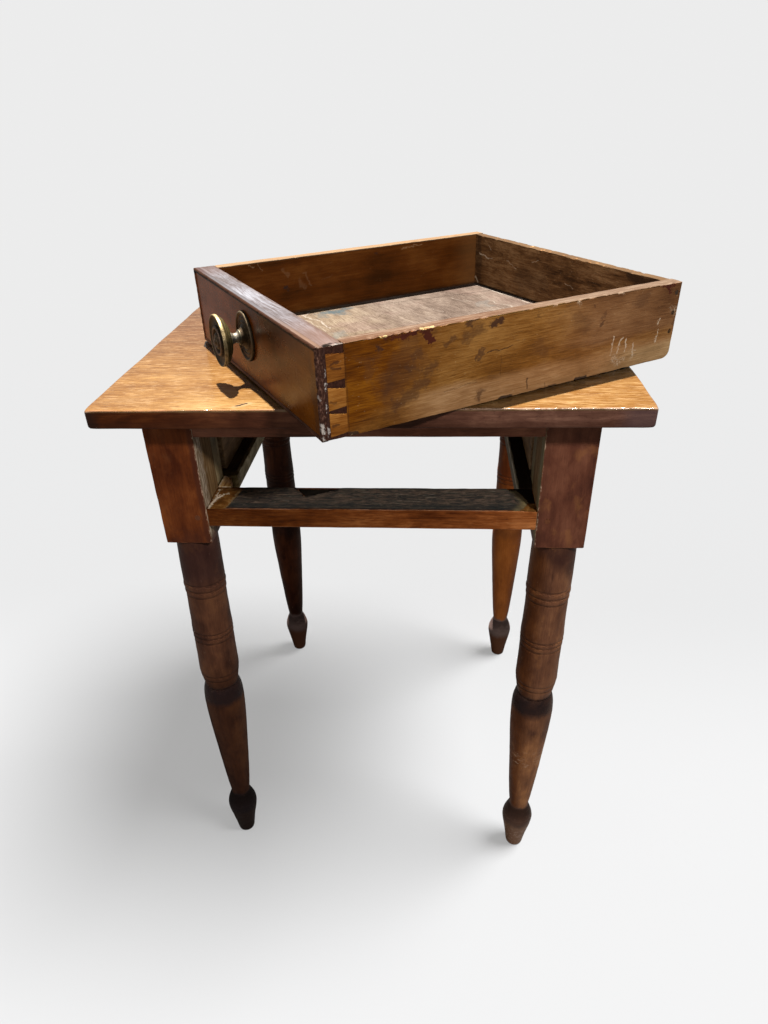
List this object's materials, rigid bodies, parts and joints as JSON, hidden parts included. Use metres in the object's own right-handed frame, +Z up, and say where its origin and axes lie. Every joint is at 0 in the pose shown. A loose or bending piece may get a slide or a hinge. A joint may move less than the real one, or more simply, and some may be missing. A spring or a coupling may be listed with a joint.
{
  "type": "tavern table",
  "caption": "Small wooden table with slender turned legs, plank top and a shallow drawer taken out of its bay and stood askew on the top.",
  "frame": {"origin": "on the floor, midway between the four legs", "axes": "+Z up; +Y to the back, away from the drawer bay's mouth; +X to the right seen from the front"},
  "size_m": [0.5648, 0.6152, 0.7785],
  "materials": {
    "top_wood": "old shellac polish, glossy, golden orange with fine straight grain",
    "leg_wood": "dark red-brown polish, worn on edges and rings",
    "frame_wood": "dark brown polish, satin",
    "inner_wood": "unpolished, dusty brown",
    "raw_wood": "bare pale wood",
    "front_wood": "polished red-brown with wavy figure",
    "drawer_wood": "bare, stained and handled",
    "bead_wood": "polished",
    "nail_iron": "rusty",
    "brass": "old brass, dark in the recesses"
  },
  "bodies": {
    "table": {"leg_front_left": "leg_wood", "leg_front_right": "leg_wood", "leg_back_left": "leg_wood", "leg_back_right": "leg_wood", "rail_pegs": "leg_wood", "tabletop": "top_wood", "apron_left": "frame_wood", "apron_right": "frame_wood", "apron_back": "frame_wood", "rail_lower": "frame_wood", "rail_upper": "frame_wood", "runner_left": "inner_wood", "runner_right": "inner_wood", "runner_left_end": "raw_wood", "corner_block_left": "inner_wood", "corner_block_right": "inner_wood", "guide_left": "inner_wood", "guide_right": "inner_wood", "kicker_left": "inner_wood", "kicker_right": "inner_wood", "top_glue_blocks": "inner_wood"},
    "drawer": {"drawer_front": "front_wood", "drawer_side_left": "drawer_wood", "drawer_side_right": "drawer_wood", "drawer_back": "drawer_wood", "drawer_bottom": "drawer_wood", "cock_bead_top": "bead_wood", "cock_bead_bottom": "bead_wood", "cock_bead_left": "bead_wood", "cock_bead_right": "bead_wood", "drawer_back_nails": "nail_iron", "drawer_bottom_nails": "nail_iron", "knob": "brass", "knob_backplate": "brass", "knob_nut": "brass"}
  },
  "joints": [
    {"name": "drawer_lift", "type": "slide", "parent": "table", "child": "drawer", "axis": [0, 0, 1], "range_m": [0, 0.3]}
  ]
}
